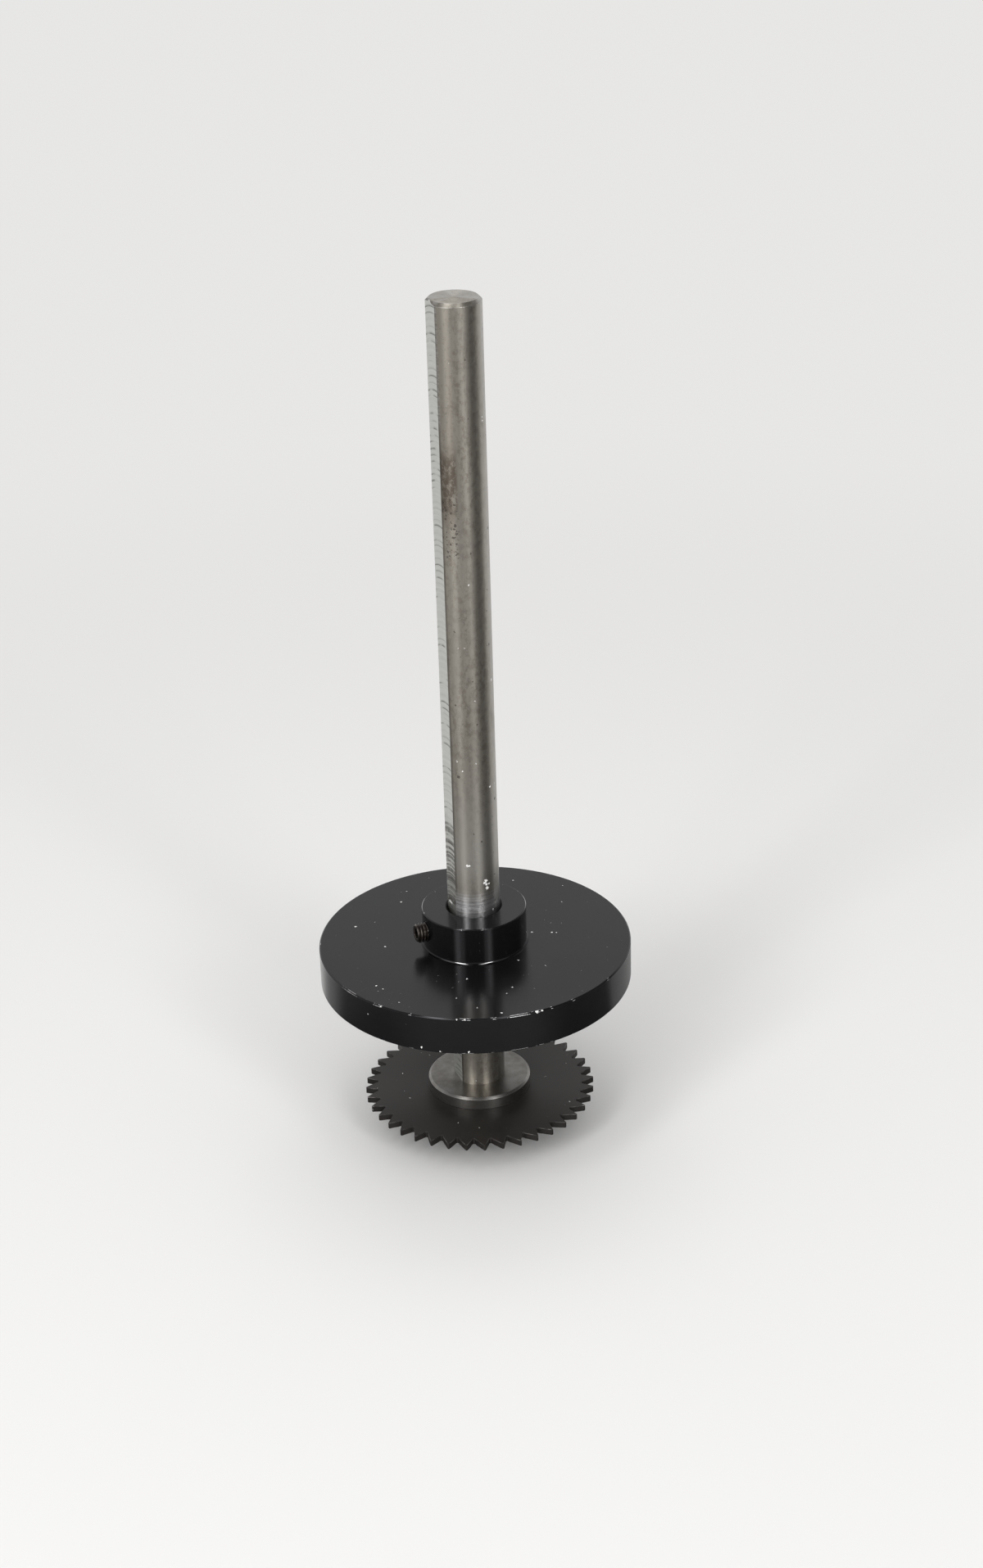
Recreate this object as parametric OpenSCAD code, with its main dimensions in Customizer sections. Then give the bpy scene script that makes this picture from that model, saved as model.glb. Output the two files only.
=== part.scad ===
// Internal pipe cutter: a chuck-driven shaft with a saw blade at its lower end and a sliding depth stop.
// Millimetres. +Z runs up the shaft, and the origin is on its axis where the drill chuck's nose stops.
// The shaft's flat and the set screw face -X.

/* [Shaft] */
// Diameter of the round shaft
shaft_d = 12.7; // [10:0.1:15]
// Overall length of the shaft, with the spigot at its lower end
shaft_len = 203.2; // [180:0.1:260]
// Length of shank above the origin, inside the chuck
shank_len = 34.3; // [25:0.1:45]
// Depth of the long flat below the round of the shaft
flat_depth = 0.75; // [0.4:0.05:1.1]
// Chamfer round the shaft's top end
shaft_chamfer = 0.8; // [0.2:0.1:1.2]
// Diameter of the turned spigot that centres the blade
spigot_d = 9.525; // [8.6:0.025:9.8]
// Chamfer round the spigot's end
spigot_chamfer = 0.4; // [0.1:0.1:0.6]
// Depth of tapped hole left past the end of the blade screw
tap_spare = 4; // [1:0.5:10]

/* [Depth stop] */
// Diameter of the stop disc
disc_d = 76.2; // [50:0.1:110]
// Thickness of the stop disc
disc_t = 9.525; // [5:0.025:14]
// Diameter of the hub on top of the disc
hub_d = 25.4; // [22:0.1:34]
// Height of the hub above the disc
hub_h = 9.525; // [7.5:0.025:16]
// Radius of the fillet at the hub's foot
hub_fillet = 0.8; // [0.3:0.1:1.2]
// Chamfer on the outer edges of the disc
disc_chamfer = 0.3; // [0.1:0.1:1]
// Chamfer on the top edge of the hub
hub_chamfer = 0.2; // [0.1:0.1:0.8]
// Chamfer at both mouths of the stop's bore
bore_chamfer = 0.5; // [0.1:0.1:0.8]
// Cutting length that the stop is set to: stop face to the top of the blade
cut_setting = 31.75; // [12:0.05:90]

/* [Set screw] */
// Outside diameter of the set screw
set_d = 4.826; // [4:0.002:5.6]
// Length of the set screw
set_len = 9.525; // [8:0.025:14]
// Width across the flats of the hex socket
set_socket_af = 2.38; // [1.5:0.01:2.5]
// Depth of the hex socket
set_socket_depth = 3.2; // [2:0.1:4.5]
// Chamfer at the set screw's outer end
set_chamfer = 0.45; // [0.2:0.05:0.6]
// Diameter of the flat tip that bears on the shaft
set_tip_d = 3; // [2:0.1:3.5]
// Length of the cone behind the tip
set_tip_len = 0.9; // [0.5:0.1:1.4]

/* [Saw blade] */
// Diameter of the blade over its tooth tips
blade_d = 57.15; // [45:0.05:70]
// Thickness of the blade
blade_t = 1.6; // [0.8:0.1:3]
// Number of teeth
tooth_count = 40; // [24:1:50]
// Depth of the gullets below the tooth tips
tooth_depth = 3; // [1.5:0.1:4.5]
// Width of the land left at each tooth tip
tooth_land = 0.4; // [0.1:0.05:0.8]
// Radius at the root of each gullet
gullet_r = 0.45; // [0.2:0.05:0.6]
// Sideways shift of each gullet's root, which leans the teeth
tooth_lean = -0.5; // [-0.8:0.05:0.8]

/* [Blade clamp] */
// Diameter of the two blade washers
clamp_d = 25.4; // [20:0.1:34]
// Thickness of the washer between shoulder and blade
backing_t = 3.175; // [2:0.025:5]
// Thickness of the washer under the blade
clamp_t = 2.4; // [1.5:0.1:4]
// Diameter of the relief turned in each washer's blade side
relief_d = 17; // [14:0.1:18.5]
// Depth of that relief
relief_depth = 0.3; // [0.1:0.05:0.6]
// Chamfer round the outer edges of the washers
washer_chamfer = 0.5; // [0.2:0.1:0.8]

/* [Blade screw] */
// Outside diameter of the blade screw
screw_d = 6.35; // [5:0.01:6.8]
// Length of the blade screw under its head
screw_len = 15.875; // [10:0.025:25]
// Chamfer at the blade screw's end
screw_chamfer = 0.6; // [0.2:0.1:1]
// Width of the head across its flats
head_af = 11.1125; // [9.5:0.0125:13]
// Height of the head
head_h = 4; // [3:0.1:6]
// Thickness of the round washer face under the head
washer_face_t = 0.4; // [0.2:0.1:0.6]
// Angle of the chamfer on the head's corners
head_chamfer_angle = 30; // [15:1:45]
// Outside diameter of the split lock washer
lock_d = 12.4; // [11:0.1:14]
// Thickness of the split lock washer
lock_t = 1.6; // [1:0.1:2.5]
// Width of the split in the lock washer
split_w = 0.7; // [0.3:0.1:1.2]
// Slant of the split from upright
split_angle = 35; // [15:1:45]

/* [Clearances] */
// Radial clearance of the stop's bore on the shaft
run_clear = 0.09; // [0.02:0.01:0.1]
// Radial clearance of the screws in their tapped holes
thread_clear = 0.05; // [0.02:0.01:0.1]
// Radial clearance of the blade and washers on the spigot
spigot_clear = 0.05; // [0.02:0.01:0.1]
// Radial clearance of the loose washers round the blade screw
screw_clear = 0.15; // [0.1:0.01:0.3]
// How far the spigot stops short of the clamp washer
spigot_short = 0.4; // [0.1:0.1:0.7]

/* [Hidden] */
$fn = 96;

// Extra reach that carries a cut clear of the face it opens
over = 1;

// Radii
shaft_r = shaft_d / 2;
spigot_r = spigot_d / 2;
disc_r = disc_d / 2;
hub_r = hub_d / 2;
bore_r = shaft_r + run_clear;
set_r = set_d / 2;
set_hole_r = set_r + thread_clear;
blade_r = blade_d / 2;
clamp_r = clamp_d / 2;
washer_bore_r = spigot_r + spigot_clear;
screw_r = screw_d / 2;
screw_hole_r = screw_r + screw_clear;
tap_r = screw_r + thread_clear;

// Distance of the flat from the shaft's axis
flat_x = shaft_r - flat_depth;

// Heights, from the lower end of the shaft up
spigot_end = shank_len - shaft_len;
blade_bottom = spigot_end - spigot_short;
blade_top = blade_bottom + blade_t;
shoulder = blade_top + backing_t;
stop_face = blade_top + cut_setting;
disc_top = stop_face + disc_t;
hub_top = disc_top + hub_h;
set_z = disc_top + hub_h / 2;

// Heights, from the blade down
clamp_bottom = blade_bottom - clamp_t;
head_seat = clamp_bottom - lock_t;
head_bottom = head_seat - head_h;
screw_end = head_seat + screw_len;
tap_end = screw_end + tap_spare;

// Length of arc between two tooth tips
tooth_pitch = PI * blade_d / tooth_count;

// Upright cylinder between two heights
module post(r, low, high) {
    translate([0, 0, low])
        cylinder(r = r, h = high - low);
}

// Upright cylinder with a 45 degree chamfer at either end
module chamfered_post(r, low, high, low_chamfer, high_chamfer) {
    if (low_chamfer > 0)
        translate([0, 0, low])
            cylinder(r1 = r - low_chamfer, r2 = r, h = low_chamfer);
    post(r, low + low_chamfer, high - high_chamfer);
    if (high_chamfer > 0)
        translate([0, 0, high - high_chamfer])
            cylinder(r1 = r, r2 = r - high_chamfer, h = high_chamfer);
}

// Cut that chamfers the mouth of an upright bore, opening up (side = 1) or down (side = -1)
module bore_mouth(r, z, chamfer, side) {
    translate([0, 0, z])
        mirror([0, 0, side > 0 ? 0 : 1])
            translate([0, 0, -chamfer])
                cylinder(r1 = r, r2 = r + chamfer + over, h = chamfer + over);
}

// Round bar with one long flat, and a tapped spigot at its lower end
module shaft() {
    color("darkgray")
        difference() {
            union() {
                chamfered_post(spigot_r, spigot_end, shoulder, spigot_chamfer, 0);
                difference() {
                    chamfered_post(shaft_r, shoulder, shank_len, 0, shaft_chamfer);
                    translate([-flat_x - shaft_d, -shaft_r, shoulder - over])
                        cube([shaft_d, shaft_d, shank_len - shoulder + 2 * over]);
                }
            }
            post(tap_r, spigot_end - over, tap_end);
            translate([0, 0, tap_end])
                cylinder(r1 = tap_r, r2 = 0, h = tap_r / 2);
        }
}

// Ring that fills the corner between the hub and the disc with a fillet
module hub_foot() {
    translate([0, 0, disc_top])
        rotate_extrude()
            difference() {
                translate([bore_r + over, 0])
                    square([hub_r - bore_r - over + hub_fillet, hub_fillet]);
                translate([hub_r + hub_fillet, hub_fillet])
                    circle(r = hub_fillet);
            }
}

// Disc and hub in one piece, bored for the shaft and drilled for the set screw
module stop_flange() {
    color([0.13, 0.13, 0.14])
        difference() {
            union() {
                chamfered_post(disc_r, stop_face, disc_top, disc_chamfer, disc_chamfer);
                chamfered_post(hub_r, disc_top, hub_top, 0, hub_chamfer);
                hub_foot();
            }
            post(bore_r, stop_face - over, hub_top + over);
            bore_mouth(bore_r, hub_top, bore_chamfer, 1);
            bore_mouth(bore_r, stop_face, bore_chamfer, -1);
            translate([0, 0, set_z])
                rotate([0, -90, 0])
                    cylinder(r = set_hole_r, h = hub_r + over);
        }
}

// Socket set screw, lying along -X with its tip on the shaft's flat
module stop_set_screw() {
    color([0.2, 0.17, 0.15])
        translate([-flat_x, 0, set_z])
            rotate([0, -90, 0])
                difference() {
                    union() {
                        cylinder(r1 = set_tip_d / 2, r2 = set_r, h = set_tip_len);
                        chamfered_post(set_r, set_tip_len, set_len, 0, set_chamfer);
                    }
                    translate([0, 0, set_len - set_socket_depth])
                        cylinder(d = set_socket_af / cos(30), h = set_socket_depth + over, $fn = 6);
                }
}

// Washer that backs the blade against the shaft's shoulder
module blade_backing_washer() {
    color([0.35, 0.35, 0.36])
        difference() {
            chamfered_post(clamp_r, blade_top, shoulder, 0, washer_chamfer);
            post(washer_bore_r, blade_top - over, shoulder + over);
            post(relief_d / 2, blade_top - over, blade_top + relief_depth);
        }
}

// Cut between two neighbouring teeth, at the +X side of the blade
module gullet() {
    root_x = blade_r - tooth_depth + gullet_r;
    half_mouth = (tooth_pitch - tooth_land) / 2;
    tip_x = blade_r * cos(180 / tooth_count);
    flare = (half_mouth - gullet_r) / (tip_x - root_x);
    lean = tooth_lean / (tip_x - root_x);
    out_x = blade_r + over;
    reach = out_x - root_x;
    linear_extrude(blade_t + 2 * over)
        polygon([
            [root_x, tooth_lean - gullet_r],
            [out_x, tooth_lean - gullet_r - (flare + lean) * reach],
            [out_x, tooth_lean + gullet_r + (flare - lean) * reach],
            [root_x, tooth_lean + gullet_r]
        ]);
    translate([root_x, tooth_lean, 0])
        cylinder(r = gullet_r, h = blade_t + 2 * over);
}

// Flat toothed disc, bored for the spigot
module saw_blade() {
    color([0.1, 0.1, 0.1])
        difference() {
            post(blade_r, blade_bottom, blade_top);
            post(washer_bore_r, blade_bottom - over, blade_top + over);
            for (i = [0 : tooth_count - 1])
                rotate(360 * (i + 0.5) / tooth_count)
                    translate([0, 0, blade_bottom - over])
                        gullet();
        }
}

// Washer that presses the blade up from below
module blade_clamp_washer() {
    color([0.42, 0.42, 0.43])
        difference() {
            chamfered_post(clamp_r, clamp_bottom, blade_bottom, washer_chamfer, 0);
            post(screw_hole_r, clamp_bottom - over, blade_bottom + over);
            post(relief_d / 2, blade_bottom - relief_depth, blade_bottom + over);
        }
}

// Split spring washer, pressed flat
module lock_washer() {
    color([0.6, 0.6, 0.58])
        difference() {
            post(lock_d / 2, head_seat, clamp_bottom);
            post(screw_hole_r, head_seat - over, clamp_bottom + over);
            translate([0, 0, head_seat + lock_t / 2])
                rotate([split_angle, 0, 0])
                    translate([0, -split_w / 2, -lock_d / 2])
                        cube([lock_d, split_w, lock_d]);
        }
}

// Hex head with its corners chamfered, on a round washer face
module hex_head() {
    corner_r = head_af / 2 / cos(30);
    chamfer_h = (corner_r - head_af / 2) * tan(head_chamfer_angle);
    post(head_af / 2, head_seat - washer_face_t, head_seat);
    intersection() {
        translate([0, 0, head_bottom])
            cylinder(r = corner_r, h = head_h - washer_face_t, $fn = 6);
        union() {
            translate([0, 0, head_bottom])
                cylinder(r1 = head_af / 2, r2 = corner_r, h = chamfer_h);
            post(corner_r, head_bottom + chamfer_h, head_seat);
        }
    }
}

// Hex head screw, up into the tapped end of the shaft
module blade_screw() {
    color([0.62, 0.61, 0.58]) {
        hex_head();
        chamfered_post(screw_r, head_seat, screw_end, 0, screw_chamfer);
    }
}

shaft();
stop_flange();
stop_set_screw();
blade_backing_washer();
saw_blade();
blade_clamp_washer();
lock_washer();
blade_screw();
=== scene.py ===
"""Looks of the internal pipe cutter: a steel shaft, a black depth stop with its set screw, and a saw blade.

Every piece is a skin worked out as whole arrays: rings of points carried along a profile. Metres, in the
frame of the solids, with the shaft along Z and its flat facing -X.
"""

import math

import bmesh
import bpy
import numpy as np
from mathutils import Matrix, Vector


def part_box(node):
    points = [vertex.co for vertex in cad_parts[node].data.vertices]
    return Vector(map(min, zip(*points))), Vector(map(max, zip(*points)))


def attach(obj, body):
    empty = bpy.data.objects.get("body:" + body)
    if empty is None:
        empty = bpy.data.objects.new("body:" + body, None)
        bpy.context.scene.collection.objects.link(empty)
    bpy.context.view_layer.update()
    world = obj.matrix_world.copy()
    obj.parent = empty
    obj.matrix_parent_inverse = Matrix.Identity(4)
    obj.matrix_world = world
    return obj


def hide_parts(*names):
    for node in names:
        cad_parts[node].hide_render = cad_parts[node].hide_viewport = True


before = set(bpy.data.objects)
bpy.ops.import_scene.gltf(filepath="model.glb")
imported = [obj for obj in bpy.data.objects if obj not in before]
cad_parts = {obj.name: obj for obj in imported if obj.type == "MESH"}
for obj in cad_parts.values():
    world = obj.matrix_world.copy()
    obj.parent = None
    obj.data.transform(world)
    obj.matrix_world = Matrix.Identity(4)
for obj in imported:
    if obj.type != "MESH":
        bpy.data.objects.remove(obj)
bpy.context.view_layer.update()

MM = 0.001

# Sizes that the solids give
shaft_low, shaft_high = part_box("shaft")
stop_low, stop_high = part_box("stop_flange")
set_low, set_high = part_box("stop_set_screw")
backing_low, backing_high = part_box("blade_backing_washer")
blade_low, blade_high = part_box("saw_blade")
clamp_low, clamp_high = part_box("blade_clamp_washer")
lock_low, lock_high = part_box("lock_washer")
screw_low, screw_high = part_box("blade_screw")

SHAFT_R = shaft_high.y
FLAT_X = -shaft_low.x
SHAFT_TOP = shaft_high.z
SPIGOT_END = shaft_low.z
SHOULDER = backing_high.z
STOP_FACE = stop_low.z
HUB_TOP = stop_high.z
DISC_R = stop_high.x
SET_R = set_high.y
SET_Z = (set_low.z + set_high.z) / 2
SET_LEN = set_high.x - set_low.x
CLAMP_R = clamp_high.x
LOCK_R = lock_high.x
FLOOR_Z = screw_low.z

# Sizes that only the drawing of each piece gives
SHAFT_CHAMFER = 0.8 * MM
SPIGOT_R = 4.7625 * MM
SPIGOT_CHAMFER = 0.4 * MM
TAP_R = 3.225 * MM
TAP_CHAMFER = 0.3 * MM
TAP_END = screw_high.z + 4 * MM
HUB_R = 12.7 * MM
DISC_TOP = STOP_FACE + 9.525 * MM
HUB_FILLET = 0.8 * MM
DISC_CHAMFER = 0.3 * MM
HUB_CHAMFER = 0.2 * MM
BORE_R = SHAFT_R + 0.09 * MM
BORE_CHAMFER = 0.5 * MM
SET_HOLE_R = SET_R + 0.05 * MM
HOLE_REACH = 3.55 * MM
HOLE_SECTOR = math.radians(30)
SET_PITCH = 25.4 * MM / 32
SET_CHAMFER = 0.45 * MM
SET_TIP_R = 1.5 * MM
SET_TIP_LEN = 0.9 * MM
SET_SOCKET_AF = 2.38 * MM
SET_SOCKET_DEPTH = 3.2 * MM
BLADE_R = 28.575 * MM
BLADE_BEVEL = 0.09 * MM
TOOTH_COUNT = 40
TOOTH_DEPTH = 3 * MM
TOOTH_LAND = 0.4 * MM
TOOTH_LEAN = -0.5 * MM
GULLET_R = 0.45 * MM
WASHER_BORE_R = SPIGOT_R + 0.05 * MM
RELIEF_R = 8.5 * MM
RELIEF_DEPTH = 0.3 * MM
WASHER_CHAMFER = 0.5 * MM
WASHER_BORE_CHAMFER = 0.2 * MM
SCREW_R = 3.175 * MM
SCREW_HOLE_R = SCREW_R + 0.15 * MM
SCREW_PITCH = 25.4 * MM / 20
SCREW_CHAMFER = 0.6 * MM
HEAD_AF = 11.1125 * MM
HEAD_SEAT = lock_low.z
WASHER_FACE_T = 0.4 * MM
HEAD_CHAMFER_ANGLE = math.radians(30)
LOCK_ROUND = 0.25 * MM
SPLIT_W = 0.7 * MM
SPLIT_ANGLE = math.radians(35)

# Knocks on the stop's top corners: angle round Z and half width, in degrees, and how bad
RIM_KNOCKS = [
    (198, 5, 1), (213, 2.2, 1), (226, 1, 1), (246, 3, 1), (256, 1.5, 1), (265.5, 4, 1.7), (273, 1.5, 1),
    (278, 1, 1), (287, 1.2, 1), (306, 1.2, 1), (20, 4, 1), (62, 2, 1), (118, 3, 1), (160, 2, 1),
]
HUB_KNOCKS = [(259, 3, 1), (236, 2, 1), (176, 3, 1), (90, 4, 1), (10, 3, 1)]

# White flakes on the stop's top (x, y and half width), and white flakes on its rim and on the bar and dark
# pits in the bar (angle, height and half width), in millimetres and degrees
TOP_FLAKES = [
    (-8.5, -17.5, 0.25), (0, -25.5, 0.22), (-6.5, -35.5, 0.3), (6, -14, 0.25), (-21.5, 5, 0.22),
    (-25, 17.5, 0.28), (-10.5, 25, 0.24), (-29.5, -12, 0.26), (-28.5, -14, 0.22), (-27, -21.5, 0.2),
    (18.5, -4.5, 0.3), (19.5, -5, 0.22), (14, -2.5, 0.32), (-14, -25, 0.16), (-11, -31, 0.18),
    (11, -19, 0.16), (19.5, 24.5, 0.2), (26.5, 9, 0.16), (4.5, 29, 0.18),
]
RIM_FLAKES = [
    (272, -126.5, 0.45), (274, -126.5, 0.3), (246, -126.5, 0.3), (243, -126.5, 0.25), (256, -126.5, 0.25),
    (230, -135, 0.25), (237, -135.5, 0.2), (214, -126.5, 0.3), (208, -130, 0.16), (52, -129, 0.3),
]
BAR_FLAKES = [
    (-80, -107.5, 0.45), (-83, -108, 0.45), (-77, -109.5, 0.45), (-72, -108.5, 0.3), (-79, -108.5, 0.35),
    (-121, -103, 0.38), (-116, -103, 0.3), (-63, -116, 0.22), (-98, -31, 0.18), (-124, -46.5, 0.16),
    (-111, -46.5, 0.16), (-93, -60, 0.16), (-136, -75.5, 0.2), (-124, -78, 0.22), (-95, -76, 0.18),
    (-61, -83, 0.24),
]
BAR_PITS = [
    (-91, -23.5, 0.25), (-131, -42.5, 0.25), (-96, -55, 0.2), (-49, -47, 0.28), (-50, -33.5, 0.25),
    (-36, -19, 0.4), (-134, -79.5, 0.4), (-104, -94.5, 0.22), (-44, -87, 0.35), (-134, -61, 0.25),
]
FLAT_FLAKES = [(-FLAT_X, y * MM, -115.3 * MM, 0.4 * MM) for y in (0.2, 0.9, 1.6)]

# Rounding of a machined corner, how near a bend its flanks get a support ring, steps along an arc, round a
# turned piece, round a screw and across the side that faces -X, a thread's depth in pitches, from which
# angle an edge is sharp and how near to each other points are welded
EDGE_ROUND = 0.1 * MM
GUARD = 0.12 * MM
ARC_STEPS = 4
ROUND_STEPS = 192
SCREW_STEPS = 96
SECTOR_STEPS = 25
THREAD_DEPTH = 0.55
SHARP_ANGLE = math.radians(26)
WELD = 1e-7


# Surfaces

def rounded(corners, closed=False):
    """Outline through corners (r, z, radius), as rows of (r, z, edge).

    A corner with a radius becomes the arc tangent to its two sides: its centre lies on the bisector at
    radius over the sine of half the angle, and the arc's points are the spherical blend of its two end
    radii. A support point follows at GUARD past each end of the arc. Edge is 1 along arcs that turn the
    metal outwards, else 0.
    """
    spots = np.array([c[:2] for c in corners], float)
    rows = []
    for i, (r, z, radius) in enumerate(corners):
        if radius == 0 or (not closed and i in (0, len(corners) - 1)):
            rows.append((r, z, 0.0))
            continue
        here = spots[i]
        back = spots[i - 1] - here
        ahead = spots[(i + 1) % len(spots)] - here
        reach = min(np.linalg.norm(back), np.linalg.norm(ahead))
        back = back / np.linalg.norm(back)
        ahead = ahead / np.linalg.norm(ahead)
        half = math.acos(np.clip(back @ ahead, -1, 1)) / 2
        radius = min(radius, 0.45 * reach * math.tan(half))
        touch = radius / math.tan(half)
        centre = here + (back + ahead) / np.linalg.norm(back + ahead) * radius / math.sin(half)
        start = here + back * touch - centre
        end = here + ahead * touch - centre
        sweep = math.pi - 2 * half
        k = np.linspace(0, 1, ARC_STEPS + 1)[:, None]
        arc = centre + (np.sin((1 - k) * sweep) * start + np.sin(k * sweep) * end) / math.sin(sweep)
        turn = back[0] * ahead[1] - back[1] * ahead[0]
        edge = 1.0 if turn < 0 else 0.0
        guard = min(GUARD, 0.04 * reach)
        rows.append((*(here + back * (touch + guard)), 0.0))
        rows.extend((p[0], p[1], edge) for p in arc)
        rows.append((*(here + ahead * (touch + guard)), 0.0))
    return np.array(rows)


def joined(*parts):
    """Arrays as the last axis of one array, such as points from their coordinates."""
    return np.stack(np.broadcast_arrays(*parts), axis=-1)


def ring_faces(rows, columns, closed=False):
    """Quads of a grid of rings: each joins two neighbouring columns of two neighbouring rows."""
    row = np.arange(rows if closed else rows - 1)[:, None]
    column = np.arange(columns)
    after = (column + 1) % columns
    above = (row + 1) % rows
    low, high = row * columns, above * columns
    return joined(low + column, low + after, high + after, high + column)


def add_object(name, data):
    made = bpy.data.objects.new(name, data)
    bpy.context.scene.collection.objects.link(made)
    return made


def skin(name, points, faces, edge):
    """Mesh object from points, quads and each point's edge value. Points that coincide are welded, which
    also closes seams and poles, points that no face uses are dropped, and the faces are turned outwards."""
    mesh = bpy.data.meshes.new(name)
    mesh.from_pydata(points.reshape(-1, 3).tolist(), [], faces.reshape(-1, 4).tolist())
    wear = mesh.attributes.new("edge", "FLOAT", "POINT")
    wear.data.foreach_set("value", edge.ravel().astype(np.float32))
    welded = bmesh.new()
    welded.from_mesh(mesh)
    bmesh.ops.remove_doubles(welded, verts=welded.verts, dist=WELD)
    unused = [v for v in welded.verts if not v.link_faces]
    bmesh.ops.delete(welded, geom=unused, context="VERTS")
    bmesh.ops.recalc_face_normals(welded, faces=welded.faces)
    welded.to_mesh(mesh)
    welded.free()
    mesh.polygons.foreach_set("use_smooth", np.ones(len(mesh.polygons), bool))
    mesh.set_sharp_from_angle(angle=SHARP_ANGLE)
    return add_object(name, mesh)


def ring_skin(name, points, edge, closed=False):
    """Skin of a grid of rings, the last of which joins the first if closed."""
    shape = points.shape[:2]
    return skin(name, points, ring_faces(*shape, closed), np.broadcast_to(edge, shape))


def place(piece, body, node, material):
    """Rides a piece on its body in place of its solid, with its finish."""
    piece.data.materials.append(material)
    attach(piece, body)
    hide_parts(node)


def turned_points(profile, angles):
    """Profile rows (r, z) carried round Z: x = r cos a, y = r sin a."""
    r, z = profile[:, :1], profile[:, 1:2]
    return joined(r * np.cos(angles), r * np.sin(angles), z)


def full_turn(steps):
    return np.linspace(0, 2 * math.pi, steps, endpoint=False)


def two_stretches(half, rest_steps):
    """Angles round Z in two even stretches: up to half from -X on either side, and the rest of the turn."""
    near = np.linspace(math.pi - half, math.pi + half, SECTOR_STEPS)
    rest = np.linspace(math.pi + half, 3 * math.pi - half, rest_steps)[1:-1]
    return np.concatenate([near, rest])


def turned(name, corners):
    """Surface of revolution of a closed rounded outline."""
    profile = rounded(corners, closed=True)
    points = turned_points(profile, full_turn(ROUND_STEPS))
    return ring_skin(name, points, profile[:, 2:], closed=True)


def ring_values(rings):
    """The three values of each ring, a number or one for each point round a screw, as three grids."""
    return [np.stack([np.broadcast_to(v, SCREW_STEPS) for v in values]) for values in zip(*rings)]


def thread(along, angles, crest_r, pitch):
    """Radius of a screw thread, and its height from root (0) to crest (1): a triangle wave that winds one
    turn per pitch, with its tops and bottoms cut flat."""
    turns = along / pitch - angles / (2 * math.pi)
    wave = 1 - 2 * np.abs(turns % 1 - 0.5)
    height = np.clip(wave * 1.3 - 0.16, 0, 1)
    root_r = crest_r - THREAD_DEPTH * pitch
    return root_r + (crest_r - root_r) * height, height


def hexagon_radius(angles, across):
    """Distance from a hexagon's centre to its outline: half its width over the cosine past mid-flat."""
    past = (angles + math.pi / 6) % (math.pi / 3) - math.pi / 6
    return across / 2 / np.cos(past)


# Pieces

def shaft_skin():
    """Turned outline from the tapped hole's end, down the hole, round the spigot and shoulder and up to the
    top. The flat is a clamp: no point of the bar lies past FLAT_X on the -X side."""
    corners = [
        (0, TAP_END + TAP_R / 2, 0),
        (TAP_R, TAP_END, 0),
        (TAP_R, SPIGOT_END + TAP_CHAMFER, 0),
        (TAP_R + TAP_CHAMFER, SPIGOT_END, 0),
        (SPIGOT_R - SPIGOT_CHAMFER, SPIGOT_END, 0),
        (SPIGOT_R, SPIGOT_END + SPIGOT_CHAMFER, 0),
        (SPIGOT_R, SHOULDER, 0),
        (SHAFT_R, SHOULDER, 0),
    ]
    round_end = SHAFT_TOP - SHAFT_CHAMFER
    corners += [(SHAFT_R, z, 0) for z in np.linspace(SHOULDER, round_end, 40)[1:-1]]
    corners += [
        (SHAFT_R, round_end, EDGE_ROUND),
        (SHAFT_R - SHAFT_CHAMFER, SHAFT_TOP, EDGE_ROUND),
        (0, SHAFT_TOP, 0),
    ]
    profile = rounded(corners)
    points = turned_points(profile, two_stretches(math.acos(FLAT_X / SHAFT_R), 200))
    x = points[..., 0]
    points[..., 0] = np.where(points[..., 2] >= SHOULDER, np.maximum(x, -FLAT_X), x)
    return ring_skin("shaft_bar", points, profile[:, 2:])


def hole_patch(points, rows, inner, wall_r):
    """Rings that open a stretch of wall onto the set screw's hole.

    rows and inner index the stretch's rows, from low to high, and columns. Its four borders make one loop
    of points, and each ring is the straight blend, in Y and Z, of that loop and a circle round the hole,
    bent back onto the wall by x = -sqrt(wall_r^2 - y^2). Returns the rings from the hole outwards.
    """
    stretch = points[np.ix_(rows, inner)]
    borders = [stretch[0, :-1], stretch[:-1, -1], stretch[-1, :0:-1], stretch[:0:-1, 0]]
    loop = np.concatenate(borders)
    flat = joined(-loop[:, 1], loop[:, 2] - SET_Z)
    angle = np.arctan2(flat[:, 1], flat[:, 0])
    circle = joined(np.cos(angle), np.sin(angle)) * SET_HOLE_R
    blend = np.array([0, 0.06, 0.3, 0.65, 1])[:, None, None]
    rings = circle * (1 - blend) + flat * blend
    x = -np.sqrt(wall_r**2 - rings[..., 0] ** 2)
    return joined(x, -rings[..., 0], rings[..., 1] + SET_Z)


def knocked(angles, knocks):
    """How badly a corner is knocked about at each angle: a sum of bells at given angles, of given half
    widths and heights."""
    at, wide, bad = np.array(knocks, float).T[:, :, None]
    at, wide = np.radians(at), np.radians(wide)
    away = (angles - at + math.pi) % (2 * math.pi) - math.pi
    return (bad * np.exp(-((away / wide) ** 2))).sum(axis=0)


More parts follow.
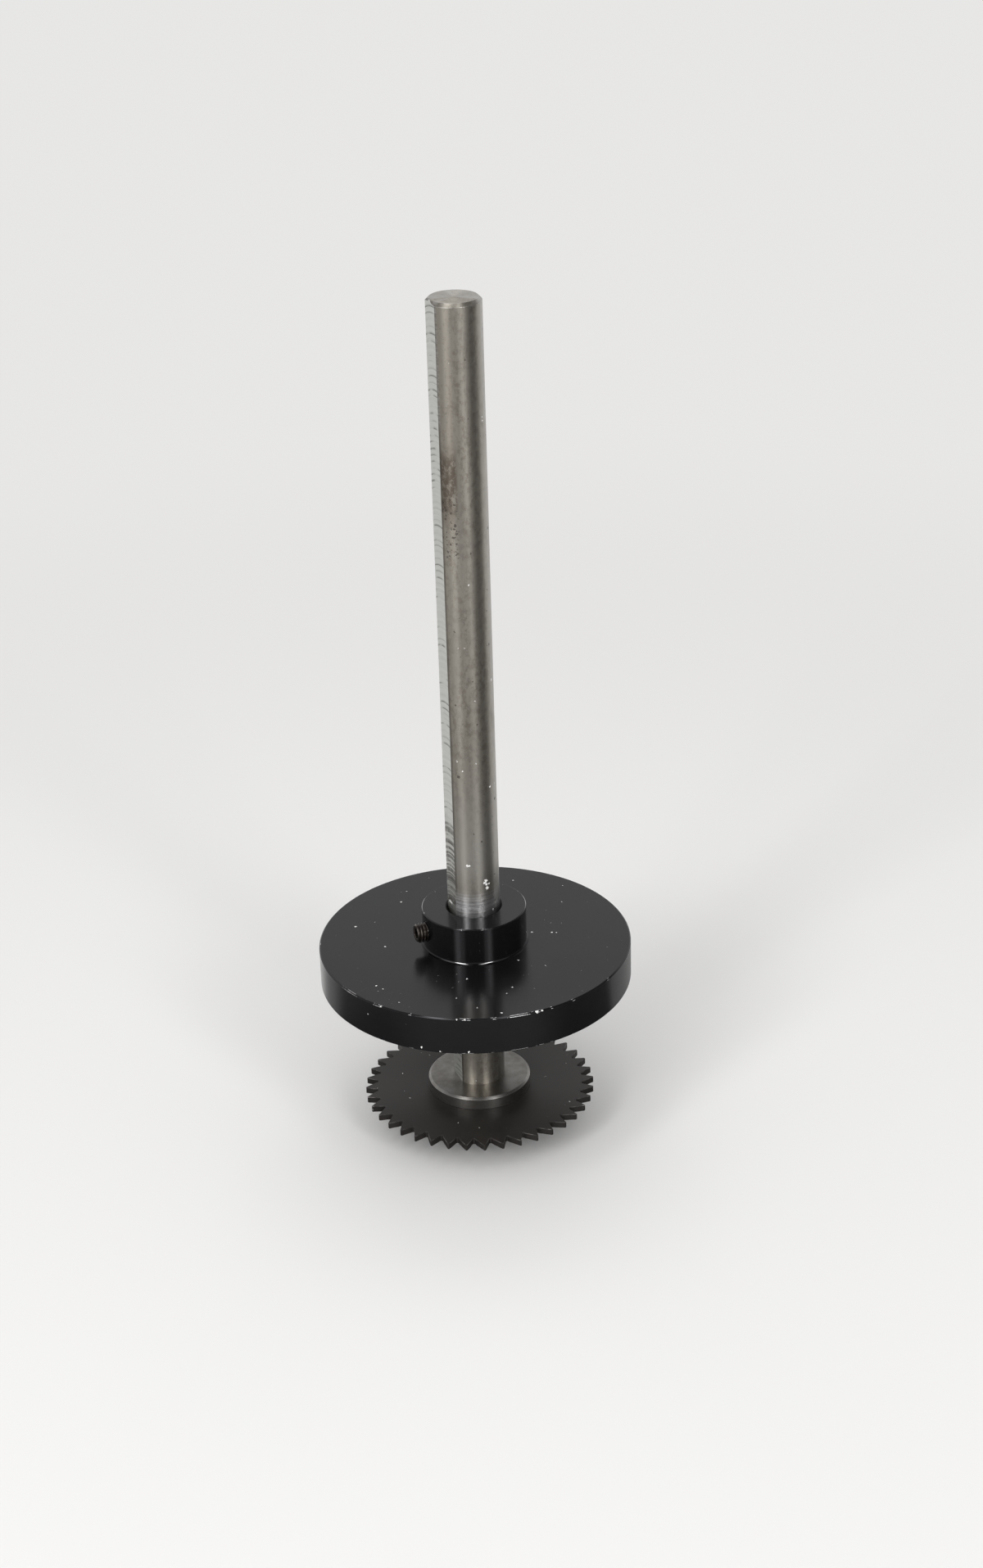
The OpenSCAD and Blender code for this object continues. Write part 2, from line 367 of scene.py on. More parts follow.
def stop_flange_skin():
    """Turned outline of disc, hub and bore, with a sector of the hub's wall and of the bore's wall opened
    by hole_patch, and a tube of straight lines between the two openings."""
    on_wall = [SET_Z + k * HOLE_REACH for k in np.linspace(-1, 1, 13)]
    corners = [
        (BORE_R + BORE_CHAMFER, STOP_FACE, EDGE_ROUND),
        (DISC_R - DISC_CHAMFER, STOP_FACE, EDGE_ROUND),
        (DISC_R, STOP_FACE + DISC_CHAMFER, EDGE_ROUND),
        (DISC_R, DISC_TOP - DISC_CHAMFER, EDGE_ROUND),
        (DISC_R - DISC_CHAMFER, DISC_TOP, EDGE_ROUND),
        (HUB_R, DISC_TOP, HUB_FILLET),
        *((HUB_R, z, 0) for z in on_wall),
        (HUB_R, HUB_TOP - HUB_CHAMFER, EDGE_ROUND),
        (HUB_R - HUB_CHAMFER, HUB_TOP, EDGE_ROUND),
        (BORE_R + BORE_CHAMFER, HUB_TOP, EDGE_ROUND),
        (BORE_R, HUB_TOP - BORE_CHAMFER, EDGE_ROUND),
        *((BORE_R, z, 0) for z in reversed(on_wall)),
        (BORE_R, STOP_FACE + BORE_CHAMFER, EDGE_ROUND),
    ]
    profile = rounded(corners, closed=True)
    angles = two_stretches(HOLE_SECTOR, 240)
    inner = np.arange(SECTOR_STEPS)
    points = turned_points(profile, angles)
    on_rim = profile[:, :1] > (HUB_R + DISC_R) / 2
    knocks = np.where(on_rim, knocked(angles, RIM_KNOCKS), knocked(angles, HUB_KNOCKS))
    edge = profile[:, 2:] * (0.45 + 0.55 * knocks)
    faces = ring_faces(len(profile), len(angles), closed=True)

    def rows_on(wall_r):
        near = np.abs(profile[:, 0] - wall_r) < WELD
        level = np.abs(profile[:, 1] - SET_Z) < HOLE_REACH + WELD
        return np.flatnonzero(near & level)

    keep = np.ones(faces.shape[:2], bool)
    patches = []
    for wall_r in (HUB_R, BORE_R):
        rows = rows_on(wall_r)
        keep[np.ix_(rows[:-1], inner[:-1])] = False
        patches.append(hole_patch(points, rows[np.argsort(profile[rows, 1])], inner, wall_r))
    hub_rings, bore_rings = patches
    bore_rings[0, :, 1:] = hub_rings[0, :, 1:]
    bore_rings[0, :, 0] = -np.sqrt(BORE_R**2 - bore_rings[0, :, 1] ** 2)
    wall = np.concatenate([bore_rings[::-1], hub_rings])
    every_point = np.concatenate([points.reshape(-1, 3), wall.reshape(-1, 3)])
    wall_faces = ring_faces(*wall.shape[:2]).reshape(-1, 4) + edge.size
    every_face = np.concatenate([faces[keep], wall_faces])
    every_edge = np.concatenate([edge.ravel(), np.zeros(wall[..., 0].size)])
    return skin("depth_stop", every_point, every_face, every_edge)


def set_screw_skin():
    """Rings along the screw: radius is the thread's, which winds one turn per pitch, limited by the tip's
    cone and the end's chamfer. Past the end they turn in, become the hexagon of the socket, go down it and
    close on its floor. A ring is its place along the screw, its radii and its edge."""
    angles = full_turn(SCREW_STEPS)
    along = np.linspace(0, SET_LEN, 181)[:, None]
    thread_r, crest = thread(along, angles, SET_R, SET_PITCH)
    cone_r = SET_TIP_R + (SET_R - SET_TIP_R) * along / SET_TIP_LEN
    end_r = SET_R - SET_CHAMFER + (SET_LEN - along)
    body_r = np.minimum(thread_r, np.minimum(cone_r, end_r))
    socket = hexagon_radius(angles, SET_SOCKET_AF)
    mouth = socket + 0.1 * MM
    floor = SET_LEN - SET_SOCKET_DEPTH
    rings = [
        (0, 0, 0),
        (0, body_r[0] - EDGE_ROUND, 0),
        *((a, r, e) for a, r, e in zip(along[:, 0], body_r, crest)),
        (SET_LEN, (SET_R - SET_CHAMFER + mouth) / 2, 0.3),
        (SET_LEN, mouth + 0.05 * MM, 0.6),
        (SET_LEN - 0.02 * MM, mouth, 1),
        (SET_LEN - 0.12 * MM, socket, 0.8),
        (SET_LEN - 0.3 * MM, socket, 0.2),
        (floor + 0.1 * MM, socket, 0),
        (floor, socket - 0.02 * MM, 0),
        (floor, socket * 0.8, 0),
        (floor - 0.4 * MM, 0, 0),
    ]
    a, r, edge = ring_values(rings)
    return ring_skin("set_screw", joined(-FLAT_X - a, r * np.cos(angles), SET_Z + r * np.sin(angles)), edge)


def tooth_outline():
    """Outline of the toothed rim, as points in order round the blade.

    A gullet is a half circle at its root and two straight flanks out to the tip circle, where each flank's
    line meets x^2 + y^2 = R^2. It repeats round the blade, and lands of the tip circle join one gullet to
    the next.
    """
    root_x = BLADE_R - TOOTH_DEPTH + GULLET_R
    half_mouth = (2 * math.pi * BLADE_R / TOOTH_COUNT - TOOTH_LAND) / 2
    rise = BLADE_R * math.cos(math.pi / TOOTH_COUNT) - root_x

    def flank(side):
        slope = (side * (half_mouth - GULLET_R) - TOOTH_LEAN) / rise
        start_y = TOOTH_LEAN + side * GULLET_R
        a = 1 + slope**2
        b = root_x + slope * start_y
        c = root_x**2 + start_y**2 - BLADE_R**2
        out = (-b + math.sqrt(b * b - a * c)) / a
        reach = out * np.array([0.35, 0.7, 0.93, 1])
        line = joined(root_x + reach, start_y + slope * reach)
        return line[::-1] if side < 0 else line

    turn = np.linspace(-math.pi / 2, math.pi / 2, 7)
    root = joined(root_x - GULLET_R * np.cos(turn), TOOTH_LEAN + GULLET_R * np.sin(turn))
    gullet = np.concatenate([flank(-1), root, flank(1)])
    angles = 2 * math.pi * (np.arange(TOOTH_COUNT) + 0.5) / TOOTH_COUNT
    cos, sin = np.cos(angles)[:, None], np.sin(angles)[:, None]
    x, y = gullet[:, 0], gullet[:, 1]
    return joined(x * cos - y * sin, x * sin + y * cos).reshape(-1, 2)


def saw_blade_skin():
    """Rings from the bore's lower edge out along the underside, round the toothed rim and back over the
    top. The outer rings are the outline, and the outline with each side moved in by the same step: a corner
    moves along b = n1 + n2, the sum of its sides' normals, by 2 b / |b|^2 steps. The inner rings are
    circles at the angles of the innermost outline, and the one between them is that outline drawn in along
    its own rays. A ring is its points, its lift off the face and its edge."""
    outline = tooth_outline()
    ahead = np.roll(outline, -1, axis=0) - outline
    ahead /= np.linalg.norm(ahead, axis=1, keepdims=True)
    normal = joined(-ahead[:, 1], ahead[:, 0])
    both = normal + np.roll(normal, 1, axis=0)
    inward = 2 * both / (both**2).sum(axis=1, keepdims=True)
    inset = outline + inward * (BLADE_BEVEL + 0.06 * MM)
    inset_r = np.linalg.norm(inset, axis=1, keepdims=True)
    ray = inset / inset_r
    root_r = BLADE_R - TOOTH_DEPTH
    plain_r = root_r - 1.6 * MM
    tip = np.clip((np.linalg.norm(outline, axis=1) - root_r) / TOOTH_DEPTH, 0, 1)
    plain = np.zeros(len(outline))
    half = [
        (ray * WASHER_BORE_R, BLADE_BEVEL, plain),
        (ray * (WASHER_BORE_R + BLADE_BEVEL), 0, plain),
        (ray * 12 * MM, 0, plain),
        (ray * 18 * MM, 0, plain),
        (ray * plain_r, 0, plain),
        (ray * (0.85 * inset_r + 0.15 * plain_r), 0, 0.12 + 0.2 * tip),
        (inset, 0, 0.45 + 0.4 * tip),
        (outline + inward * BLADE_BEVEL, 0, 0.7 + 0.3 * tip),
        (outline, BLADE_BEVEL, 0.7 + 0.3 * tip),
        (outline, BLADE_BEVEL + 0.1 * MM, plain),
    ]
    under = [(spot, blade_low.z + lift, e) for spot, lift, e in half]
    over = [(spot, blade_high.z - lift, e) for spot, lift, e in reversed(half)]
    flat, z, edge = (np.array(values) for values in zip(*under, *over))
    points = joined(flat[..., 0], flat[..., 1], z[:, None])
    return ring_skin("saw_blade_disc", points, edge, closed=True)


def blade_washer_skin(name, low, high, bore_r, blade_above):
    """Turned outline of a blade washer: a chamfered rim, a bore, and a shallow relief on the side that
    meets the blade."""
    away, face = (low, high) if blade_above else (high, low)
    inward = math.copysign(1, away - face)
    corners = [
        (bore_r, away - inward * WASHER_BORE_CHAMFER, 0),
        (bore_r + WASHER_BORE_CHAMFER, away, EDGE_ROUND),
        (CLAMP_R - WASHER_CHAMFER, away, EDGE_ROUND),
        (CLAMP_R, away - inward * WASHER_CHAMFER, EDGE_ROUND),
        (CLAMP_R, face, EDGE_ROUND),
        (RELIEF_R, face, EDGE_ROUND),
        (RELIEF_R, face + inward * RELIEF_DEPTH, 0),
        (bore_r, face + inward * RELIEF_DEPTH, 0),
    ]
    return turned(name, corners if blade_above else corners[::-1])


def lock_washer_skin():
    """Rounded rectangle carried round the screw, short of a full turn. Each ring of the path starts and
    ends on the split's slant: its angle grows with height by the slant's tangent over the radius."""
    low, high = lock_low.z, lock_high.z
    corners = [(SCREW_HOLE_R, low), (LOCK_R, low), (LOCK_R, high), (SCREW_HOLE_R, high)]
    section = rounded([(*corner, LOCK_ROUND) for corner in corners], closed=True)
    r, z = section[:, 0], section[:, 1]
    lean = -(z - (low + high) / 2) * math.tan(SPLIT_ANGLE) / r
    half_gap = SPLIT_W / 2 / math.cos(SPLIT_ANGLE) / r
    travel = np.linspace(0, 1, 97)[:, None]
    angle = lean + half_gap + (2 * math.pi - 2 * half_gap) * travel
    loop = joined(r * np.cos(angle), r * np.sin(angle), z)
    middle = loop[[0, -1]].mean(axis=1, keepdims=True)
    caps = np.broadcast_to(middle, (2, *loop.shape[1:]))
    points = np.concatenate([caps[:1], loop, caps[1:]])
    return ring_skin("lock_washer_ring", points, section[:, 2])


def blade_screw_skin():
    """Rings from the middle of the head's face out to its crown, round the hexagon, in under the washer
    face and up the threaded body. The crown rises from the inscribed circle by the chamfer's tangent. A
    ring is its radii, its height and its edge."""
    angles = full_turn(SCREW_STEPS)
    hexagon = hexagon_radius(angles, HEAD_AF)
    inscribed = np.full_like(hexagon, HEAD_AF / 2)
    crown = FLOOR_Z + (hexagon - inscribed) * math.tan(HEAD_CHAMFER_ANGLE)
    shelf = HEAD_SEAT - WASHER_FACE_T
    top = screw_high.z
    along = np.linspace(HEAD_SEAT + 0.4 * MM, top, 150)[:, None]
    thread_r, crest = thread(along, angles, SCREW_R, SCREW_PITCH)
    body_r = np.minimum(thread_r, SCREW_R - SCREW_CHAMFER + (top - along))
    rings = [
        (0, FLOOR_Z, 0),
        (inscribed * 0.6, FLOOR_Z, 0),
        (inscribed - 0.5 * MM, FLOOR_Z, 0.2),
        (inscribed - 0.25 * MM, FLOOR_Z, 0.7),
        (inscribed - 0.1 * MM, FLOOR_Z + 0.01 * MM, 1),
        (inscribed, FLOOR_Z + 0.05 * MM, 0.7),
        (hexagon - 0.06 * MM, crown + 0.03 * MM, 0.7),
        (hexagon, crown + 0.1 * MM, 1),
        (hexagon, crown + 0.3 * MM, 0.2),
        (hexagon, shelf - 0.15 * MM, 0.2),
        (hexagon, shelf - 0.05 * MM, 0.8),
        (hexagon - 0.05 * MM, shelf, 0.8),
        (inscribed * 0.97, shelf, 0),
        (inscribed * 0.97, HEAD_SEAT, 0),
        (SCREW_R, HEAD_SEAT, 0),
        (SCREW_R, HEAD_SEAT + 0.35 * MM, 0),
        *((r, z, e) for r, z, e in zip(body_r, along[:, 0], crest)),
        (0, top, 0),
    ]
    r, z, edge = ring_values(rings)
    return ring_skin("blade_screw_bolt", joined(r * np.cos(angles), r * np.sin(angles), z), edge)


# Shader parts

class Value:
    """What a socket of a node tree gives: sums, differences and products of it make the nodes for them."""

    def __init__(self, graph, socket):
        self.graph = graph
        self.socket = socket

    def __add__(self, other):
        return self.graph.math("ADD", self, other)

    def __radd__(self, other):
        return self.graph.math("ADD", other, self)

    def __sub__(self, other):
        return self.graph.math("SUBTRACT", self, other)

    def __rsub__(self, other):
        return self.graph.math("SUBTRACT", other, self)

    def __mul__(self, other):
        return self.graph.math("MULTIPLY", self, other)

    def __truediv__(self, other):
        return self.graph.math("DIVIDE", self, other)

    def __abs__(self):
        return self.graph.math("ABSOLUTE", self)


class Graph:
    """Short calls for making a node tree: what a socket is given may be a number, a colour or a Value."""

    def __init__(self, tree, shader=None):
        self.tree = tree
        self.shader = shader

    def node(self, kind, inputs=None, **settings):
        made = self.tree.nodes.new(kind)
        for key, value in settings.items():
            setattr(made, key, value)
        for key, value in (inputs or {}).items():
            self.feed(made.inputs[key], value)
        return made

    def feed(self, socket, value):
        if isinstance(value, Value):
            self.tree.links.new(value.socket, socket)
        else:
            socket.default_value = (*value, 1) if socket.type == "RGBA" else value

    def set(self, name, value):
        """Feeds a socket of the material's own shader."""
        self.feed(self.shader.inputs[name], value)

    def add(self, kind, inputs=None, output=0, **settings):
        """One output of a new node."""
        return Value(self, self.node(kind, inputs, **settings).outputs[output])

    def all(self, kind, inputs=None, **settings):
        """Every output of a new node, by name."""
        return {socket.name: Value(self, socket) for socket in self.node(kind, inputs, **settings).outputs}

    def place(self, group, **inputs):
        return self.all("ShaderNodeGroup", inputs, node_tree=group)

    def math(self, operation, *values):
        return self.add("ShaderNodeMath", dict(enumerate(values)), operation=operation)

    def larger(self, first, second):
        return self.math("MAXIMUM", first, second)

    def vector(self, operation, *values):
        """Vector, or for a distance or a dot product a number, from vectors."""
        output = "Value" if operation in ("DISTANCE", "DOT_PRODUCT") else "Vector"
        return self.add("ShaderNodeVectorMath", dict(enumerate(values)), output, operation=operation)

    def stretch(self, vector, scale):
        return self.vector("MULTIPLY", vector, scale)

    def split(self, vector):
        return self.all("ShaderNodeSeparateXYZ", {0: vector}).values()

    def ramp(self, value, low, high, at_low=0, at_high=1):
        """Smooth step of a value from at_low, at low, to at_high, at high."""
        inputs = {"Value": value, "From Min": low, "From Max": high, "To Min": at_low, "To Max": at_high}
        return self.add("ShaderNodeMapRange", inputs, interpolation_type="SMOOTHSTEP")

    def fall(self, value, low, high, at_low=1):
        """Smooth step of a value from at_low, at low, down to 0, at high."""
        return self.ramp(value, low, high, at_low, 0)

    def mix(self, share, first, second):
        """Colour between first and second."""
        return self.add("ShaderNodeMix", {0: share, 6: first, 7: second}, 2, data_type="RGBA")

    def blend(self, share, first, second):
        """Number between first and second."""
        return self.add("ShaderNodeMix", {0: share, 2: first, 3: second}, data_type="FLOAT")

    def noise(self, vector, scale, detail=2, roughness=0.5, dimensions="3D"):
        key = "W" if dimensions == "1D" else "Vector"
        inputs = {key: vector, "Scale": scale, "Detail": detail, "Roughness": roughness}
        return self.add("ShaderNodeTexNoise", inputs, noise_dimensions=dimensions)

    def grain(self, vector, stretch, detail, roughness=0.5):
        """Noise drawn out by scaling each part of its vector."""
        return self.noise(self.stretch(vector, stretch), 1, detail, roughness)

    def line_noise(self, value, pitch, detail, roughness=0.5):
        """Noise along one line, with its marks about a pitch apart."""
        return self.noise(value / pitch, 1, detail, roughness, "1D")

    def bump(self, height, distance):
        inputs = {"Height": height, "Distance": distance, "Strength": 1}
        self.set("Normal", self.add("ShaderNodeBump", inputs))


def new_group(name, inputs, outputs):
    """Empty node group with number inputs (name: default, or "vector") and number outputs, but for a Point.
    Gives the group, its graph and the sockets of what it is given and puts out."""
    group = bpy.data.node_groups.new(name, "ShaderNodeTree")
    for key, default in inputs.items():
        kind = "NodeSocketVector" if default == "vector" else "NodeSocketFloat"
        socket = group.interface.new_socket(key, in_out="INPUT", socket_type=kind)
        if default != "vector":
            socket.default_value = default
    for key in outputs:
        kind = "NodeSocketVector" if key == "Point" else "NodeSocketFloat"
        group.interface.new_socket(key, in_out="OUTPUT", socket_type=kind)
    g = Graph(group)
    return group, g, g.all("NodeGroupInput"), g.node("NodeGroupOutput").inputs


def round_place_group():
    """Radius from the shaft's axis, angle round it and height, of a point."""
    group, g, given, out = new_group("round_place", {"Point": "vector"}, ("Radius", "Angle", "Height"))
    x, y, z = g.split(given["Point"])
    g.feed(out["Radius"], g.math("SQRT", x * x + y * y))
    g.feed(out["Angle"], g.math("ARCTAN2", y, x))
    g.feed(out["Height"], z)
    return group


def ragged_point_group():
    """A point pushed about by a fine noise, so that what is drawn round it gets a ragged outline."""
    group, g, given, out = new_group("ragged_point", {"Point": "vector"}, ("Point",))
    inputs = {"Vector": given["Point"], "Scale": 3000, "Detail": 1}
    noise = g.add("ShaderNodeTexNoise", inputs, "Color")
    shift = g.vector("SUBTRACT", noise, (0.5, 0.5, 0.5))
    shift = g.stretch(shift, (RAGGED, RAGGED, RAGGED))
    g.feed(out["Point"], g.vector("ADD", given["Point"], shift))
    return group


def speck_group():
    """Mask of small ragged specks: a Share of a pattern's cells hold a speck each, of up to Size cells."""
    inputs = {"Point": "vector", "Cells": 400, "Share": 0.1, "Size": 0.12}
    group, g, given, out = new_group("specks", inputs, ("Mask",))
    point = g.place(RAGGED_POINT, Point=given["Point"])["Point"]
    cells = g.all("ShaderNodeTexVoronoi", {"Vector": point, "Scale": given["Cells"]})
    red, green, _ = g.split(cells["Color"])
    chosen = g.math("LESS_THAN", red, given["Share"])
    size = given["Size"] * (g.math("POWER", green, 3) + 0.25)
    speck = g.fall(cells["Distance"], size * 0.8, size)
    g.feed(out["Mask"], chosen * speck)
    return group


def scratch_group():
    """Mask of thin scratches: the narrow band where one noise crosses its middle, broken up by another."""
    group, g, given, out = new_group("scratches", {"Point": "vector", "Thin": 0.02, "Share": 0.5}, ("Mask",))
    line = g.noise(given["Point"], 1, 0)
    thin = g.fall(abs(line - 0.5), 0, given["Thin"])
    breaks = g.noise(given["Point"], 0.37, 1)
    broken = g.ramp(breaks, given["Share"], given["Share"] + 0.1)
    g.feed(out["Mask"], thin * broken)
    return group


def tool_mark_group():
    """Height of fine cutting rings: two noises along one line, such as a radius or a height."""
    group, g, given, out = new_group("tool_marks", {"Along": 0, "Pitch": 0.0002}, ("Height",))
    count = given["Along"] / given["Pitch"]
    fine = g.noise(count, 1, 1, dimensions="1D")
    coarse = g.noise(count, 0.17, 1, dimensions="1D")
    g.feed(out["Height"], fine * 0.6 + coarse * 0.4)
    return group


def room_tone_group():
    """How bright the surroundings are in a direction from the tool: full behind it, softer in front and
    dark on the right, as a product of smooth steps of the direction's parts to the right and to the front.
    The dark side ends where the part to the front falls below Turn. Near is a painted shadow: a further
    dimming close to the tool, least behind it on the left and most beside it on the left. The floor paints
    both into its colour as gloss sees it, as painted shade."""
    inputs = {"Direction": "vector", "Turn": -0.14}
    group, g, given, out = new_group("room_tone", inputs, ("Level", "PaintedShadow"))
    level = g.vector("NORMALIZE", g.stretch(given["Direction"], (1, 1, 0)))
    right = g.vector("DOT_PRODUCT", level, TO_RIGHT)
    front = g.vector("DOT_PRODUCT", level, TO_FRONT)
    dark = g.ramp(right, 0.5, 0.9, 0, 0.75) * g.ramp(front - given["Turn"], -0.08, 0.08)
    g.feed(out["Level"], (1 - dark) * g.ramp(front, -0.3, 0.9, 1, 0.6))
    beside = g.fall(right, -0.9, -0.5) * g.ramp(front, -0.4, -0.05)
    behind = g.fall(right, -0.5, -0.2) * g.fall(front, -0.75, -0.45)
    g.feed(out["PaintedShadow"], g.blend(behind, g.blend(beside, 0.45, 0.05), 1))
    return group


# Level directions as the camera sees them, how far ragged outlines stray, and the groups and colours that
# finishes share
TO_RIGHT = (0.943, -0.333, 0)
TO_FRONT = (-0.333, -0.943, 0)
RAGGED = 0.7 * MM
ROUND_PLACE = round_place_group()
RAGGED_POINT = ragged_point_group()
SPECKS = speck_group()
SCRATCHES = scratch_group()
TOOL_MARKS = tool_mark_group()
ROOM_TONE = room_tone_group()
DUST_WHITE = (0.8, 0.8, 0.78)
PALE = (0.8, 0.795, 0.785)

# Where the bar is stained and clean, where it takes painted shade on the right and where the hub's foot is
# dull, as angles round Z, how far round the grip marks start, and how the flat was milled
STAIN_ANGLE = math.radians(-134)
CLEAN_FROM = math.radians(-70)
CLEAN_TO = math.radians(-42)
SHADE_FROM = math.radians(-66)
SHADE_TO = math.radians(-40)
FOOT_DULL = math.radians(-112)
GRIP_TURN = 0.9
FEED_R = 12.5 * MM
FEED_Y = -2.7 * MM


def new_material(name):
    """Material with a Principled BSDF, its graph, and the two sockets that most finishes start from."""
    material = bpy.data.materials.new(name)
    material.use_nodes = True
    g = Graph(material.node_tree, material.node_tree.nodes["Principled BSDF"])
    point = g.add("ShaderNodeTexCoord", output="Object")
    edge = g.add("ShaderNodeAttribute", output="Fac", attribute_name="edge")
    return material, g, point, edge


def specks(g, point, cells, share, size):
    return g.place(SPECKS, Point=point, Cells=cells, Share=share, Size=size)["Mask"]


def scratches(g, point, stretch, thin, share):
    stretched = g.stretch(point, stretch)
    return g.place(SCRATCHES, Point=stretched, Thin=thin, Share=share)["Mask"]


def tool_marks(g, along, pitch):
    return g.place(TOOL_MARKS, Along=along, Pitch=pitch)["Height"]


def on_round(radius, flakes):
    """Places of flakes given by angle, height and half width, on a round wall."""
    places = [(math.radians(turn), z * MM, size * MM) for turn, z, size in flakes]
    return [(radius * math.cos(a), radius * math.sin(a), z, size) for a, z, size in places]


def flakes_at(g, point, places):
    """Mask of ragged flakes: 1 where a place (x, y, z, half width) is nearer than its half width."""
    ragged = g.place(RAGGED_POINT, Point=point)["Point"]
    mask = 0
    for x, y, z, size in places:
        away = g.vector("DISTANCE", ragged, (x, y, z))
        mask = g.larger(mask, g.fall(away, 0.8 * size, size))
    return mask


def grain_round_shaft(g, point, amount):
    """Turned finish: grooves run round Z, and gloss is drawn out a quarter turn from them."""
    groove = g.vector("CROSS_PRODUCT", (0, 0, 1), point)
    g.set("Anisotropic", amount)
    g.set("Anisotropic Rotation", 0.25)
    g.set("Tangent", groove)


def dusty(g, dust, colour, gloss):
    """White, dull dust over a finish's colour and gloss."""
    g.set("Base Color", g.mix(dust, colour, DUST_WHITE))
    g.set("Roughness", g.blend(dust, gloss, 0.85))


